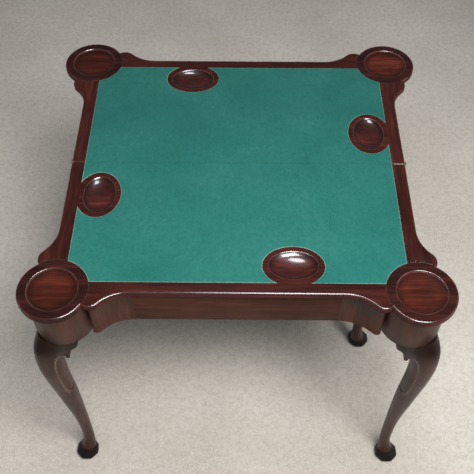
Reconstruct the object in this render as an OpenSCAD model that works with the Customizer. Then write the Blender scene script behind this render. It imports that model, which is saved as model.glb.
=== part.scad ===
// Fold-over card table with turret corners, shown open for play.
// The front leaf is fixed to the frame. The back leaf folds over onto it on two brass
// edge hinges. A hinged fly rail carries the fourth leg and swings out under the open leaf.
// Origin: on the floor, under the middle of the fold. +X right, +Y to the back, +Z up.

/* [Top] */
// Height of the open playing surface
top_h = 720; // [700:1:760]
// Thickness of each leaf
leaf_t = 17; // [16:1:20]
// Distance of the turret centres from the middle, across
corner_x = 358; // [340:1:380]
// Distance of the turret centres from the fold
corner_y = 335; // [320:1:350]
// Radius of the round turret corners of the leaves
disc_r = 70; // [66:1:74]
// Radius of the sunk candle stand in each turret corner
stand_r = 51; // [45:1:54]
// Depth of the candle stands
stand_d = 3; // [2:0.5:4]
// Distance of the straight edges outside the turret centres
edge_out = 6.5; // [4:0.5:9]
// Width of the wooden border at the ends of the baize
border_x = 27; // [23:1:30]
// Width of the wooden border along the front and the back of the baize
border_y = 24; // [20:1:28]
// Thickness of the baize
baize_t = 1; // [0.8:0.1:1.4]

/* [Shoulders] */
// Radius of the convex lobe beside each turret
lobe_r = 25; // [23:1:27]
// Distance of the lobe's centre from the turret centre, along the edge
lobe_s = 74; // [72:1:78]
// Distance of the lobe's centre outside the turret centre
lobe_n = 15.5; // [13:0.5:18]
// Radius of the hollow between the lobe and the straight edge
hollow_r = 80; // [60:1:90]

/* [Wells] */
// Half length of a counter well's rim
well_rim_a = 62; // [58:1:66]
// Half width of a counter well's rim
well_rim_b = 47.5; // [45:0.5:49]
// Half length of a counter well's bowl
well_a = 48.5; // [44:0.5:50]
// Half width of a counter well's bowl
well_b = 33; // [29:0.5:34]
// Depth of a counter well's bowl
well_d = 10; // [8:0.5:11]
// Distance of the long-side wells from the middle, across
well_x = 111.5; // [90:0.5:130]
// Distance of the end wells from the fold
well_y = 93.5; // [80:0.5:110]

/* [Frame] */
// Height of the frieze's lower edge
frieze_z = 601; // [590:1:615]
// Overhang of the leaves beyond the frieze
overhang = 12.5; // [10:0.5:14]
// Radius of the turret blocks under the front corners
turret_r = 62; // [56:0.5:63]
// Distance of the turret blocks' axes inside the centres of the round corners, both ways
turret_in = 5.5; // [4:0.5:8]
// Width of the slot between a turret block and the shoulder beside it
slot_w = 5; // [4:0.5:6]
// Thickness of the rails
rail_t = 25; // [22:1:28]
// Side of the rear legs' square stiles
stile = 50; // [44:1:54]
// Distance of the rear stiles' back faces in front of the fold
stile_back = 25; // [20:1:35]
// Distance of the fly rail's pivot to the right of the middle
pivot_x = 20; // [0:1:40]

/* [Hidden] */
$fn = 96;
mahogany = [0.30, 0.10, 0.06];
dark_mahogany = [0.22, 0.08, 0.06];
leg_brown = [0.27, 0.15, 0.12];
beech = [0.55, 0.40, 0.25];
baize_green = [0.16, 0.42, 0.36];
brass = [0.72, 0.56, 0.28];
iron = [0.25, 0.25, 0.26];

// Top and shoulders
leaf_z = top_h - leaf_t;
edge_x = corner_x + edge_out;
edge_y = corner_y + edge_out;
baize_x = edge_x - border_x;
baize_y = edge_y - border_y;
half_gap = 0.15;
lip_h = 3;
lip_in = 2.5;
hollow_n = edge_out + hollow_r;
hollow_s = lobe_s + sqrt(pow(lobe_r + hollow_r, 2) - pow(hollow_n - lobe_n, 2));
fold_z = top_h + 0.25;
rim_from_edge = 41;
bowl_from_edge = 43;

// Rails, turrets and blocks
frieze_h = leaf_z - frieze_z;
turret_reach = turret_r + turret_in;
face_x = edge_x - overhang;
face_y = edge_y - overhang;
block_s = 150;
block_seat = 5;
tenon_t = 12;
tenon_l = 24;
tenon_in = 10;
tenon_z = frieze_z + tenon_in;
tenon_h = frieze_h - 2 * tenon_in;
post_s = 36;
post_h = 60;
post_at = 10;

// Rear corner, fly rail and pivot
run = 0.05;
stile_x = face_x - stile / 2;
stile_y = -stile_back - stile / 2;
rear_axis = [stile_x - 12.5, stile_y - 12.5];
fly_y = -63;
fly_half = 12.5;
knuckles = 5;
knuckle_h = frieze_h / knuckles;
knuckle_gap = 0.25;
pin_r = 3;
fly_z = frieze_z + 5;
fly_top = leaf_z - 0.4;
swing_top = leaf_z - 0.3;
inner_y = fly_y - fly_half - 0.5;

// Legs: height, distance out along the diagonal, radius
leg_stations = [
    [0, 48, 25.5], [9, 48.5, 28.5], [28, 42, 19.5], [80, 33, 13.5], [190, 33.5, 15.2],
    [330, 42, 21.8], [480, 53, 27.6], [560, 45, 32.5], [frieze_z, 24, 33.5]
];
leg_steps = 3;
leg_sides = 16;
ear_t = 24;
ear_fit = 0.15;

// Hinges, tenon, blocks and screws
plate_t = 3.4;
knuckle_t = 2.4;
plate_l = 38;
plate_h = 12;
plate_z = leaf_z + 3;
plate_from = 5;
ear_r = 3.5;
ear_gap = 0.2;
hinge_pin_r = 1.2;
plate_screw_y = [14, 30];
plate_screw_r = 1.2;
plate_screw_l = 14;
key_w = 40;
key_in = 12;
key_out = 6;
key_z = [708, 713];
block_w = 22;
block_l = 60;
block_x = 180;
top_screw_r = 1.8;
top_screw_up = 9;
nail_x = [120, 200, 280];

// ---------- helpers ----------

// Places children, drawn for the back right, in the corner with signs sx and sy.
module at_corner(sx, sy) {
    mirror([sx < 0 ? 1 : 0, 0, 0])
        mirror([0, sy < 0 ? 1 : 0, 0])
            children();
}

// Swaps the two outward directions of a corner.
module swap_sides() {
    mirror([1, -1, 0]) children();
}

// Turns children from the fly rail's closed place to its open place.
module swung_out() {
    translate([pivot_x, fly_y, 0])
        rotate([0, 0, -90])
            translate([-pivot_x, -fly_y, 0])
                children();
}

function ellipse(a, b, n = 64) =
    [for (i = [0:n - 1]) [a * cos(360 * i / n), b * sin(360 * i / n)]];

// ---------- leaves ----------

// Shoulder beside a turret at the origin: the edge runs to -X, outward is +Y.
module shoulder(inset, h) {
    translate([-lobe_s, lobe_n, 0]) cylinder(r = lobe_r - inset, h = h);
    difference() {
        linear_extrude(h)
            polygon([
                [-lobe_s, lobe_n], [-lobe_s, -20], [-hollow_s, -20], [-hollow_s, hollow_n]
            ]);
        translate([-hollow_s, hollow_n, -1])
            cylinder(r = hollow_r + inset, h = h + 2, $fn = 180);
    }
}

// Slab with the outline of the back leaf; inset shrinks it evenly.
module leaf_slab(inset, h) {
    translate([-edge_x + inset, half_gap, 0])
        cube([2 * (edge_x - inset), edge_y - inset - half_gap, h]);
    for (sx = [-1, 1])
        at_corner(sx, 1) translate([corner_x, corner_y, 0]) {
            cylinder(r = disc_r - inset, h = h);
            shoulder(inset, h);
            swap_sides() shoulder(inset, h);
        }
}

// Places of the two wells of the back leaf, in mm from the baize's edge, with the turn of each.
module at_wells(from_edge) {
    translate([-well_x, baize_y - from_edge]) children();
    translate([baize_x - from_edge, well_y]) rotate(90) children();
}

module baize_2d() {
    difference() {
        translate([-baize_x, half_gap])
            square([2 * baize_x, baize_y - half_gap]);
        for (sx = [-1, 1])
            translate([sx * corner_x, corner_y]) circle(r = disc_r);
        at_wells(rim_from_edge) polygon(ellipse(well_rim_a, well_rim_b));
    }
}

// Bowl of a well: the cap of a flattened ball.
module bowl() {
    ball = (well_a * well_a + well_d * well_d) / (2 * well_d);
    scale([1, well_b / well_a, 1])
        translate([0, 0, ball - well_d])
            intersection() {
                sphere(r = ball, $fn = 240);
                translate([0, 0, -ball + well_d / 2 + 1])
                    cube([2 * well_a + 4, 2 * well_a + 4, well_d + 2], center = true);
            }
}

// Room in the edge for one hinge plate and for the other plate's knuckle.
module hinge_seat() {
    translate([edge_x - plate_t - 0.1, 0, 0]) {
        translate([0, 0, plate_z])
            cube([plate_t + 5, plate_l, plate_h]);
        translate([0, -1, plate_z])
            cube([plate_t + 5, plate_from + 2, leaf_t]);
    }
}

module plate_screw_holes(r) {
    for (y = plate_screw_y)
        translate([edge_x + 1, y, plate_z + plate_h / 2])
            rotate([0, -90, 0])
                cylinder(r = r, h = plate_screw_l + 2);
}

// A whole leaf, drawn as the back one.
module leaf() {
    difference() {
        union() {
            translate([0, 0, leaf_z]) leaf_slab(lip_in, lip_h);
            translate([0, 0, leaf_z + lip_h]) leaf_slab(0, leaf_t - lip_h);
        }
        translate([0, 0, top_h - baize_t]) linear_extrude(baize_t + 1) baize_2d();
        for (sx = [-1, 1])
            translate([sx * corner_x, corner_y, top_h - stand_d])
                cylinder(r1 = stand_r - 2, r2 = stand_r, h = stand_d + 0.001);
        translate([0, 0, top_h]) at_wells(bowl_from_edge) bowl();
        for (sx = [-1, 1])
            at_corner(sx, 1) {
                hinge_seat();
                plate_screw_holes(plate_screw_r + run);
            }
    }
}

module folding_leaf() {
    color(mahogany)
        difference() {
            leaf();
            translate([-key_w / 2 - 1, -1, key_z[0] - 2])
                cube([key_w + 2, key_out + 2.5, key_z[1] - key_z[0] + 3]);
        }
}

module fixed_leaf() {
    color(mahogany)
        difference() {
            rotate([0, 0, 180]) leaf();
            translate([-key_w / 2, -key_in, key_z[0]])
                cube([key_w, key_in + 1, key_z[1] - key_z[0]]);
            at_top_screws() cylinder(r = top_screw_r + run, h = top_screw_up);
        }
}

module leaf_tenon() {
    color(beech)
        translate([-key_w / 2, -key_in, key_z[0]])
            cube([key_w, key_in + key_out, key_z[1] - key_z[0]]);
}

module baize() {
    color(baize_green)
        translate([0, 0, top_h - baize_t])
            linear_extrude(baize_t) baize_2d();
}

module folding_leaf_baize() {
    baize();
}

module fixed_leaf_baize() {
    rotate([0, 0, 180]) baize();
}

// ---------- hinges ----------

// Hinge plate in the right edge of the back leaf; lap is 0 for the outer knuckle, 1 for the inner.
module plate(lap) {
    x0 = edge_x - plate_t;
    color(brass)
        difference() {
            union() {
                translate([x0, plate_from, plate_z])
                    cube([plate_t, plate_l - plate_from, plate_h]);
                translate([x0 + (lap == 0 ? knuckle_t + ear_gap : 0), 0, 0])
                    rotate([90, 0, 90])
                        linear_extrude(knuckle_t) {
                            translate([0, fold_z]) circle(r = ear_r);
                            polygon([
                                [0, fold_z - ear_r], [0, fold_z], [ear_r, fold_z],
                                [plate_from, plate_z + plate_h], [plate_from, plate_z + 4]
                            ]);
                        }
            }
            translate([x0 - 1, 0, fold_z])
                rotate([0, 90, 0]) cylinder(r = hinge_pin_r + run, h = 2 * knuckle_t + 3);
            plate_screw_holes(plate_screw_r + run);
            for (y = plate_screw_y)
                translate([edge_x - 1.4, y, plate_z + plate_h / 2])
                    rotate([0, 90, 0])
                        cylinder(r1 = plate_screw_r + run, r2 = 2 * plate_screw_r + run, h = 1.4);
        }
}

// Pin with a round head, drawn for the right hinge.
module hinge_pin(sx) {
    color(iron)
        at_corner(sx, 1)
            translate([edge_x - plate_t, 0, fold_z])
                rotate([0, 90, 0]) {
                    cylinder(r = hinge_pin_r, h = 2 * knuckle_t + ear_gap);
                    translate([0, 0, 2 * knuckle_t + ear_gap]) cylinder(r = 2, h = 0.8);
                }
}

module plate_screws() {
    color(brass)
        for (sx = [-1, 1])
            at_corner(sx, 1)
                for (y = plate_screw_y)
                    translate([edge_x, y, plate_z + plate_h / 2])
                        rotate([0, -90, 0]) {
                            cylinder(r = plate_screw_r, h = plate_screw_l);
                            cylinder(r1 = 2 * plate_screw_r, r2 = plate_screw_r, h = 1.3);
                        }
}

module left_hinge_folding_plate() {
    at_corner(-1, 1) plate(1);
}

module right_hinge_folding_plate() {
    plate(1);
}

module left_hinge_fixed_plate() {
    at_corner(-1, -1) plate(0);
}

module right_hinge_fixed_plate() {
    at_corner(1, -1) plate(0);
}

module left_hinge_pin() {
    hinge_pin(-1);
}

module right_hinge_pin() {
    hinge_pin(1);
}

module folding_plate_screws() {
    plate_screws();
}

module fixed_plate_screws() {
    at_corner(1, -1) plate_screws();
}

// ---------- frieze ----------

// Turret block under a front corner of the fixed leaf, with mortises for the leg and two rails.
module turret() {
    color(leg_brown)
        translate([corner_x, corner_y, 0])
            difference() {
                translate([-turret_in, -turret_in, frieze_z]) cylinder(r = turret_r, h = frieze_h);
                translate([post_at - post_s / 2, post_at - post_s / 2, frieze_z - 1])
                    cube([post_s, post_s, post_h + 1]);
                rail_tenon();
                swap_sides() rail_tenon();
            }
}

// Tenon of a rail that runs to -X from a corner at the origin.
module rail_tenon() {
    translate([-turret_reach - 5, edge_out - overhang - block_seat - tenon_t - 4, tenon_z])
        cube([tenon_l + 5, tenon_t, tenon_h]);
}

// Board behind a frieze face, drawn for the edge that runs to -X from the turret.
module rail_board(length) {
    face = edge_out - overhang;
    difference() {
        translate([-length, face - rail_t, frieze_z])
            cube([length, rail_t, frieze_h]);
        translate([-block_s, face - block_seat, frieze_z - 1])
            cube([block_s + 1, rail_t, frieze_h + 2]);
        translate([-turret_in, -turret_in, frieze_z - 1]) cylinder(r = turret_r, h = frieze_h + 2);
    }
    rail_tenon();
}

module front_frieze() {
    color(leg_brown)
        for (sx = [-1, 1])
            at_corner(sx, -1)
                translate([corner_x, corner_y, 0]) rail_board(corner_x);
}

// Side board from the turret back to y = -end.
module side_board(end) {
    color(leg_brown)
        translate([corner_x, corner_y, 0])
            swap_sides() rail_board(corner_y - end);
}

module left_frieze() {
    at_corner(-1, -1) side_board(stile_back + stile + 1);
}

module right_frieze() {
    at_corner(1, -1) side_board(stile_back + stile);
}

// Serpentine block glued to a rail beside the turret.
module shoulder_block() {
    seat = edge_out - overhang - block_seat;
    color(leg_brown)
        translate([0, 0, frieze_z])
            difference() {
                union() {
                    shoulder(overhang, frieze_h);
                    translate([-lobe_s - 5, seat, 0])
                        cube([20, lobe_n - seat, frieze_h]);
                }
                translate([-turret_in, -turret_in, -1])
                    cylinder(r = turret_r + slot_w, h = frieze_h + 2);
                translate([-hollow_s - 1, -40, -1])
                    cube([hollow_s, 40 + seat, frieze_h + 2]);
                translate([-hollow_s - 1, -40, -1])
                    cube([hollow_s + 1 - block_s, 80, frieze_h + 2]);
            }
}

module front_left_shoulder() {
    at_corner(-1, -1) translate([corner_x, corner_y, 0]) shoulder_block();
}

module front_right_shoulder() {
    at_corner(1, -1) translate([corner_x, corner_y, 0]) shoulder_block();
}

module left_shoulder() {
    at_corner(-1, -1) translate([corner_x, corner_y, 0]) swap_sides() shoulder_block();
}

module right_shoulder() {
    at_corner(1, -1) translate([corner_x, corner_y, 0]) swap_sides() shoulder_block();
}

module front_left_turret() {
    at_corner(-1, -1) turret();
}

module front_right_turret() {
    at_corner(1, -1) turret();
}

// ---------- back rails and fly rail ----------

module inner_back_rail() {
    length = 2 * (face_x - rail_t);
    color(beech)
        difference() {
            translate([-length / 2, inner_y - rail_t, frieze_z])
                cube([length, rail_t, frieze_h]);
            nail_holes();
        }
}

module nail_holes() {
    for (x = nail_x)
        translate([x, fly_y + fly_half + 1, frieze_z + frieze_h / 2])
            rotate([90, 0, 0])
                cylinder(r = 1.5 + run, h = 46);
}

module fly_rail_nails() {
    color(iron)
        for (x = nail_x)
            translate([x, fly_y + fly_half, frieze_z + frieze_h / 2])
                rotate([90, 0, 0]) {
                    cylinder(r = 1.5, h = 44);
                    translate([0, 0, -1]) cylinder(r = 4, h = 1);
                }
}

// Knuckle number i of the wooden hinge, with the web that joins it to a rail towards +X.
module knuckle(i, gap) {
    translate([pivot_x, fly_y, frieze_z + i * knuckle_h + gap]) {
        cylinder(r = fly_half, h = knuckle_h - 2 * gap);
        translate([0, -fly_half, 0])
            cube([fly_half + 0.5, 2 * fly_half, knuckle_h - 2 * gap]);
    }
}

module pin_bore() {
    translate([pivot_x, fly_y, frieze_z - 1]) cylinder(r = pin_r + run, h = frieze_h + 2);
}

module fixed_fly_rail() {
    start = pivot_x + fly_half + 0.5;
    color(beech)
        difference() {
            union() {
                for (i = [0:2:knuckles - 1])
                    knuckle(i, 0);
                translate([start, inner_y, frieze_z])
                    cube([stile_x - stile / 2 - start, 2 * fly_half + 0.5, frieze_h]);
                translate([start, fly_y - tenon_t / 2, tenon_z])
                    cube([stile_x - stile / 2 + tenon_l - start, tenon_t, tenon_h]);
            }
            pin_bore();
            nail_holes();
        }
}

// Swinging half, drawn closed and then turned to its open place.
module swing_fly_rail() {
    end = -stile_x + stile / 2;
    start = pivot_x - fly_half - 0.5;
    color(beech)
        swung_out()
            difference() {
                union() {
                    for (i = [1:2:knuckles - 1])
                        translate([2 * pivot_x, 0, 0])
                            mirror([1, 0, 0]) knuckle(i, knuckle_gap);
                    translate([end, fly_y - fly_half, fly_z])
                        cube([start - end, 2 * fly_half, fly_top - fly_z]);
                    translate([end - tenon_l, fly_y - tenon_t / 2, tenon_z])
                        cube([tenon_l + 1, tenon_t, tenon_h]);
                }
                pin_bore();
            }
}

module fly_rail_pin() {
    color(iron)
        translate([pivot_x, fly_y, frieze_z]) cylinder(r = pin_r, h = frieze_h);
}

// ---------- legs ----------

// Slope of column c at station k, from its neighbours.
function slope(k, c) =
    let (a = leg_stations[max(k - 1, 0)], b = leg_stations[min(k + 1, len(leg_stations) - 1)])
    (b[c] - a[c]) / (b[0] - a[0]);

// Column c a share t of the way from station k to the next, on a smooth curve.
function smooth(k, t, c) =
    let (a = leg_stations[k], b = leg_stations[k + 1], h = b[0] - a[0])
    a[c] * (2 * t * t * t - 3 * t * t + 1)
    + slope(k, c) * h * (t * t * t - 2 * t * t + t)
    + b[c] * (3 * t * t - 2 * t * t * t)
    + slope(k + 1, c) * h * (t * t * t - t * t);

function ring(z, out, r) = [
    for (j = [0:leg_sides - 1])
        let (w = 360 * (j + 0.5) / leg_sides)
        [out / sqrt(2) + r * cos(w), out / sqrt(2) + r * sin(w), z]
];

function leg_rings(grow) = [
    for (k = [0:len(leg_stations) - 2])
        for (i = [0:leg_steps - 1])
            let (t = i / leg_steps, a = leg_stations[k], b = leg_stations[k + 1])
            ring(a[0] + t * (b[0] - a[0]), smooth(k, t, 1), smooth(k, t, 2) + grow),
    let (last = leg_stations[len(leg_stations) - 1])
    ring(last[0], last[1], last[2] + grow)
];

// Cabriole leg from the pad foot to the top of the knee, bowed out along the diagonal.
module cabriole(grow = 0) {
    rings = leg_rings(grow);
    n = leg_sides;
    m = len(rings);
    sides = [
        for (i = [0:m - 2])
            for (j = [0:n - 1])
                let (j2 = (j + 1) % n)
                [i * n + j, (i + 1) * n + j, (i + 1) * n + j2, i * n + j2]
    ];
    polyhedron(
        points = [for (r = rings) each r],
        faces = concat(sides, [[for (j = [0:n - 1]) j]], [[for (j = [n - 1:-1:0]) (m - 1) * n + j]])
    );
}

module front_leg() {
    color(leg_brown)
        translate([corner_x, corner_y, 0]) {
            cabriole();
            translate([post_at - post_s / 2, post_at - post_s / 2, frieze_z - 10])
                cube([post_s, post_s, post_h + 10]);
        }
}

// Rear leg with its square stile, drawn for the right corner.
module rear_leg(top) {
    color(leg_brown)
        difference() {
            union() {
                translate([rear_axis[0], rear_axis[1], 0]) cabriole();
                translate([stile_x - stile / 2, stile_y - stile / 2, frieze_z - 12])
                    cube([stile, stile, top - frieze_z + 12]);
            }
            translate([stile_x - stile / 2 - 1, fly_y - tenon_t / 2, tenon_z])
                cube([tenon_l + 1, tenon_t, tenon_h]);
        }
}

module front_left_leg() {
    at_corner(-1, -1) front_leg();
}

module front_right_leg() {
    at_corner(1, -1) front_leg();
}

module rear_right_leg() {
    rear_leg(leaf_z);
}

module swing_leg() {
    swung_out() at_corner(-1, 1) rear_leg(swing_top);
}

// Scrolled bracket on the knee: it runs reach to -X of the leg's axis, with its front at face.
module ear(reach, face, top = frieze_z) {
    low = frieze_z - 63;
    color(leg_brown)
        difference() {
            translate([0, face, 0])
                rotate([90, 0, 0])
                    linear_extrude(ear_t) {
                        polygon([
                            [14, top], [-reach, top], [-reach + 2, frieze_z - 14],
                            [-reach + 5, frieze_z - 27], [-reach + 12, frieze_z - 34],
                            [-14, frieze_z - 47], [-6, low + 6], [14, low + 6]
                        ]);
                        translate([-3, low]) circle(r = 6.5);
                    }
            cabriole(ear_fit);
            translate([stile_x - stile / 2 - rear_axis[0], stile_y - stile / 2 - rear_axis[1], frieze_z - 13])
                cube([face > 40 ? 0.01 : stile, stile, 20]);
        }
}

module front_ear() {
    translate([corner_x, corner_y, 0]) ear(35, 50);
}

module side_ear() {
    translate([corner_x, corner_y, 0]) swap_sides() ear(35, 50);
}

module rear_ear(top) {
    translate([rear_axis[0], rear_axis[1], 0]) swap_sides() ear(50, 37.5, top);
}

module front_left_leg_front_ear() {
    at_corner(-1, -1) front_ear();
}

module front_left_leg_side_ear() {
    at_corner(-1, -1) side_ear();
}

module front_right_leg_front_ear() {
    at_corner(1, -1) front_ear();
}

module front_right_leg_side_ear() {
    at_corner(1, -1) side_ear();
}

module rear_right_leg_ear() {
    rear_ear(frieze_z);
}

module swing_leg_ear() {
    swung_out() at_corner(-1, 1) rear_ear(frieze_z - 0.5);
}

// ---------- blocks and screws ----------

// Middles of the blocks along the front rail and the inner back rail, on the leaf's underside.
module at_top_screws() {
    for (x = [-block_x, 0, block_x]) {
        translate([x, -face_y + rail_t + block_w / 2, leaf_z]) children();
        translate([x, inner_y - rail_t - block_w / 2, leaf_z]) children();
    }
}

module glue_blocks() {
    color(beech) {
        difference() {
            at_top_screws()
                translate([-block_l / 2, -block_w / 2, -block_w])
                    cube([block_l, block_w, block_w]);
            at_top_screws()
                translate([0, 0, -block_w - 1]) {
                    cylinder(r = top_screw_r + run, h = block_w + 2);
                    translate([0, 0, 1])
                        cylinder(r1 = 2 * top_screw_r + run, r2 = top_screw_r + run, h = top_screw_r);
                }
        }
        for (sx = [-1, 1])
            at_corner(sx, -1)
                translate([face_x - rail_t - block_w, 180, leaf_z - block_w])
                    cube([block_w, block_l, block_w]);
    }
}

module top_screws() {
    color(iron)
        at_top_screws()
            translate([0, 0, -block_w]) {
                cylinder(r = top_screw_r, h = block_w + top_screw_up - 0.5);
                cylinder(r1 = 2 * top_screw_r, r2 = top_screw_r, h = top_screw_r);
            }
}

fixed_leaf();
folding_leaf();
fixed_leaf_baize();
folding_leaf_baize();
leaf_tenon();
left_hinge_fixed_plate();
left_hinge_folding_plate();
left_hinge_pin();
right_hinge_fixed_plate();
right_hinge_folding_plate();
right_hinge_pin();
fixed_plate_screws();
folding_plate_screws();
front_left_turret();
front_right_turret();
front_frieze();
left_frieze();
right_frieze();
front_left_shoulder();
front_right_shoulder();
left_shoulder();
right_shoulder();
inner_back_rail();
fixed_fly_rail();
swing_fly_rail();
fly_rail_pin();
fly_rail_nails();
front_left_leg();
front_right_leg();
rear_right_leg();
swing_leg();
front_left_leg_front_ear();
front_left_leg_side_ear();
front_right_leg_front_ear();
front_right_leg_side_ear();
rear_right_leg_ear();
swing_leg_ear();
glue_blocks();
top_screws();
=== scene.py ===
"""Looks of the fold-over card table: polished mahogany, green baize and brass edge hinges.

Shapes are worked out in millimetres in the frame's own axes (+X right, -Y front, +Z up) and turned
into metres when a piece is made. The back right corner is drawn once and mirrored or turned.
"""
from math import acos, asin, atan2, cos, degrees, exp, hypot, pi, radians, sin, sqrt, tau

import bmesh
import bpy
from mathutils import Matrix, Vector
from mathutils.geometry import delaunay_2d_cdt


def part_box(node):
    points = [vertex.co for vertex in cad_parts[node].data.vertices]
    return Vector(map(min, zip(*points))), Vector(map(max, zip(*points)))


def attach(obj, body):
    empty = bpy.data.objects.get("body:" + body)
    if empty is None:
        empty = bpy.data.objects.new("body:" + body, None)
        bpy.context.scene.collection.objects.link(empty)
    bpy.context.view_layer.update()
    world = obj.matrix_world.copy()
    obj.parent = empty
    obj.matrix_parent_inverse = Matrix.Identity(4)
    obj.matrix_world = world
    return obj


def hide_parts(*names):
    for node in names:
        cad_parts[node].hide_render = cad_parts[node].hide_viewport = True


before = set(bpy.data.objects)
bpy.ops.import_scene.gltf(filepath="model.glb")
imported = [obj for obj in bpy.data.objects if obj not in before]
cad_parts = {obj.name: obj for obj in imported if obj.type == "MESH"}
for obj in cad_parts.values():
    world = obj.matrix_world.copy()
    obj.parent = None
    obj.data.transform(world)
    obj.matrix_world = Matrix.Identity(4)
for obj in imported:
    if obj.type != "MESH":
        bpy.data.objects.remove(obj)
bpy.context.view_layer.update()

# ---------- sizes ----------

MM = 0.001


def box_mm(node):
    """Lowest and highest corner of a CAD node, in millimetres to a tenth."""
    return [[round(v / MM, 1) for v in corner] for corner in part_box(node)]


leaf_low, leaf_high = box_mm("folding_leaf")
turret_low, turret_high = box_mm("front_right_turret")
pin_low, pin_high = box_mm("fly_rail_pin")
key_low, key_high = box_mm("leaf_tenon")
side_back = box_mm("left_frieze")[1][1]

# Top: its four corner discs, its straight edges and the frame's faces below them
TOP_Z = leaf_high[2]
LEAF_Z = leaf_low[2]
FRIEZE_Z = turret_low[2]
DISC_R = 70.0
CORNER_X = leaf_high[0] - DISC_R
CORNER_Y = leaf_high[1] - DISC_R
EDGE_X = box_mm("right_hinge_fixed_plate")[1][0]
EDGE_OUT = EDGE_X - CORNER_X
OVERHANG = CORNER_Y + EDGE_OUT + box_mm("front_frieze")[0][1]
HALF_GAP = 0.15

# Shoulders beside the turrets: a convex lobe that runs into a hollow
LOBE_R = 25.0
LOBE_S = 74.0
LOBE_N = 15.5
HOLLOW_R = 80.0
HOLLOW_N = EDGE_OUT + HOLLOW_R
HOLLOW_S = LOBE_S + sqrt((LOBE_R + HOLLOW_R) ** 2 - (HOLLOW_N - LOBE_N) ** 2)
TOUCH = atan2(HOLLOW_N - LOBE_N, HOLLOW_S - LOBE_S)

# Edge of the leaves: round arris, bead under a quirk, fillet, and the seats cut for the hinges
ROUND = 3.6
BEAD_R = 1.25
BEAD_IN = 1.7
BEAD_Z = LEAF_Z + 3.25
SHELF_IN = 1.2
LIP_IN = 2.5
SEAT_IN = 3.5
SEAT_LOW = LEAF_Z + 3
SEAT_HIGH = LEAF_Z + 15
EAR_SEAT_Y = 6.0
FOLD_EASE = 0.6
FOLD_EASE_Y = 1.1
PLATE_END = 38.0

# Scribed line round the discs
GROOVE_HALF = 0.7
GROOVE_D = 0.5

# Candle stands and counter wells
STAND_R = 49.4
STAND_D = 3.0
STAND_LIP = 1.6
RIM_A = 62.0
RIM_B = 47.5
BOWL_A = 48.5
BOWL_B = 33.0
BOWL_D = 10.0
BOWL_LIP = 1.8
WELL_X = 111.5
WELL_Y = 93.5
RIM_FROM_EDGE = 41.0
BOWL_FROM_EDGE = 43.0

# Baize
BAIZE_X, BAIZE_Y, _ = box_mm("folding_leaf_baize")[1]
RECESS = 1.0
CLOTH_GAP = 0.3
CLOTH_TRIM = 1.1
CLOTH_BEVEL = 0.35
CLOTH_GRID = 15.0

# Frame: FACE and SEAT are outward from a corner's centre, to the rails' faces and the shoulders' seats
TURRET_R = (turret_high[0] - turret_low[0]) / 2
TURRET_IN = CORNER_X - (turret_low[0] + turret_high[0]) / 2
TURRET_REACH = TURRET_R + TURRET_IN
RAIL_T = 25.0
BLOCK_S = 150.0
FACE = EDGE_OUT - OVERHANG
SEAT = FACE - 5.0
SLOT_W = 5.0
TENON_L = 24.0
TENON_T = 12.0
TENON_IN = 10.0
PIVOT = ((pin_low[0] + pin_high[0]) / 2, (pin_low[1] + pin_high[1]) / 2)

# Legs: posts of the front ones, stiles of the rear ones, and their ears
POST_S = 36.0
POST_H = 60.0
POST_AT = 10.0
STILE = 50.0
STILE_X = EDGE_X - OVERHANG - STILE / 2
STILE_Y = -25.0 - STILE / 2
REAR_AXIS = (STILE_X - 12.5, STILE_Y - 12.5)
FRONT_EAR_REACH, FRONT_EAR_FACE = 35.0, 50.0
REAR_EAR_REACH, REAR_EAR_FACE = 50.0, 37.5
EAR_T = 24.0
FOOT_TOP = 33.0
CARVING_LOW, CARVING_HIGH = 365.0, 553.0
CARVED_LINE_H, CARVED_LINE_W = 1.3, 1.9
CARVED_GROUND_D = 1.7

# Hinges
FOLD_Z = TOP_Z + 0.25
PLATE_T = 3.4
PLATE_IN = EDGE_X - PLATE_T
KNUCKLE_T = 2.4
EAR_GAP = 0.2
KNUCKLE_R = 3.5
PLATE_FROM = 5.0
HINGE_PIN_R = 1.2
SCREW_Y = (14.0, 30.0)
SCREW_Z = LEAF_Z + 9
SCREW_R = 2.4
SCREW_SLOT = 0.7


# ---------- mesh helpers ----------

def arc(centre, radius, start, end, steps):
    """Points on an arc between two angles in radians, both ends included."""
    turn = (end - start) / steps
    return [
        (centre[0] + radius * cos(start + turn * i), centre[1] + radius * sin(start + turn * i))
        for i in range(steps + 1)
    ]


def ellipse(centre, a, b, steps=72):
    """Points round an ellipse, counter-clockwise."""
    return [
        (centre[0] + a * cos(tau * i / steps), centre[1] + b * sin(tau * i / steps))
        for i in range(steps)
    ]


def lathe_ring(centre, radius, z, steps):
    """Points round a level circle."""
    return [(x, y, z) for x, y in ellipse(centre, radius, radius, steps)]


def round_over(radius, turns):
    """Steps of a rounded edge, as (inset from the side, drop from the end), at turns in degrees."""
    return [(radius * (1 - sin(radians(turn))), radius * (1 - cos(radians(turn))))
            for turn in turns]


class Shape:
    """Faces of one piece, in millimetres, each with the kind of surface it is."""

    def __init__(self):
        self.faces = []

    def face(self, points, kind):
        self.faces.append(([tuple(p) for p in points], kind))

    def strip(self, one, two, kind, closed=True):
        """Quads between two rings with the same number of points."""
        count = len(one)
        for i in range(count if closed else count - 1):
            j = (i + 1) % count
            self.face([one[i], one[j], two[j], two[i]], kind)

    def rings(self, rings, kind):
        """Strips between each ring and the next."""
        for one, two in zip(rings, rings[1:]):
            self.strip(one, two, kind)

    def shell(self, rings, kind, caps=None):
        """A closed shell: rings joined in order, with a flat cap on each end."""
        self.rings(rings, kind)
        self.face(rings[0], caps or kind)
        self.face(rings[-1], caps or kind)

    def moved(self, place):
        """The same shape with every point put through a function."""
        other = Shape()
        other.faces = [([place(p) for p in points], kind) for points, kind in self.faces]
        return other

    def join(self, other):
        """Takes in another shape's faces."""
        self.faces += other.faces
        return self


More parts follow.
